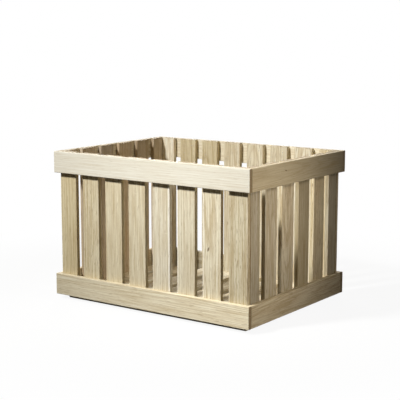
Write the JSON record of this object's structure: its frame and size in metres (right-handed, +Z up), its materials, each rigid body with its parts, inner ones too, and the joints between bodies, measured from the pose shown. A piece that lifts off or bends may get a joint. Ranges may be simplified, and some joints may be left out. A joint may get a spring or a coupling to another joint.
{
  "type": "wooden crate",
  "caption": "Open-topped slatted oak crate: upright slats inside a top and a bottom frame of rails, with a slatted floor on runners.",
  "frame": {"origin": "on the ground, under the middle of the crate", "axes": "+X along the long walls, +Y towards the back long wall, +Z up"},
  "size_m": [0.48, 0.36, 0.3093],
  "materials": {
    "rail_oak": "pale raw oak, planed, fine straight grain along the rail",
    "slat_oak": "pale raw oak, planed, fine upright grain",
    "floor_oak": "pale raw oak, sawn and lightly planed",
    "brad_steel": "bright steel brad heads, slightly dulled"
  },
  "bodies": {
    "root": {"front_top_rail": "rail_oak", "front_bottom_rail": "rail_oak", "front_slat_1": "slat_oak", "front_slat_2": "slat_oak", "front_slat_3": "slat_oak", "front_slat_4": "slat_oak", "front_slat_5": "slat_oak", "front_slat_6": "slat_oak", "front_slat_7": "slat_oak", "front_slat_8": "slat_oak", "back_top_rail": "rail_oak", "back_bottom_rail": "rail_oak", "back_slat_1": "slat_oak", "back_slat_2": "slat_oak", "back_slat_3": "slat_oak", "back_slat_4": "slat_oak", "back_slat_5": "slat_oak", "back_slat_6": "slat_oak", "back_slat_7": "slat_oak", "back_slat_8": "slat_oak", "left_top_rail": "rail_oak", "left_bottom_rail": "rail_oak", "left_slat_1": "slat_oak", "left_slat_2": "slat_oak", "left_slat_3": "slat_oak", "left_slat_4": "slat_oak", "left_slat_5": "slat_oak", "left_slat_6": "slat_oak", "right_top_rail": "rail_oak", "right_bottom_rail": "rail_oak", "right_slat_1": "slat_oak", "right_slat_2": "slat_oak", "right_slat_3": "slat_oak", "right_slat_4": "slat_oak", "right_slat_5": "slat_oak", "right_slat_6": "slat_oak", "floor_board_1": "floor_oak", "floor_board_2": "floor_oak", "floor_board_3": "floor_oak", "floor_board_4": "floor_oak", "floor_board_5": "floor_oak", "floor_board_6": "floor_oak", "floor_board_7": "floor_oak", "floor_board_8": "floor_oak", "front_runner": "floor_oak", "back_runner": "floor_oak"}
  },
  "joints": []
}
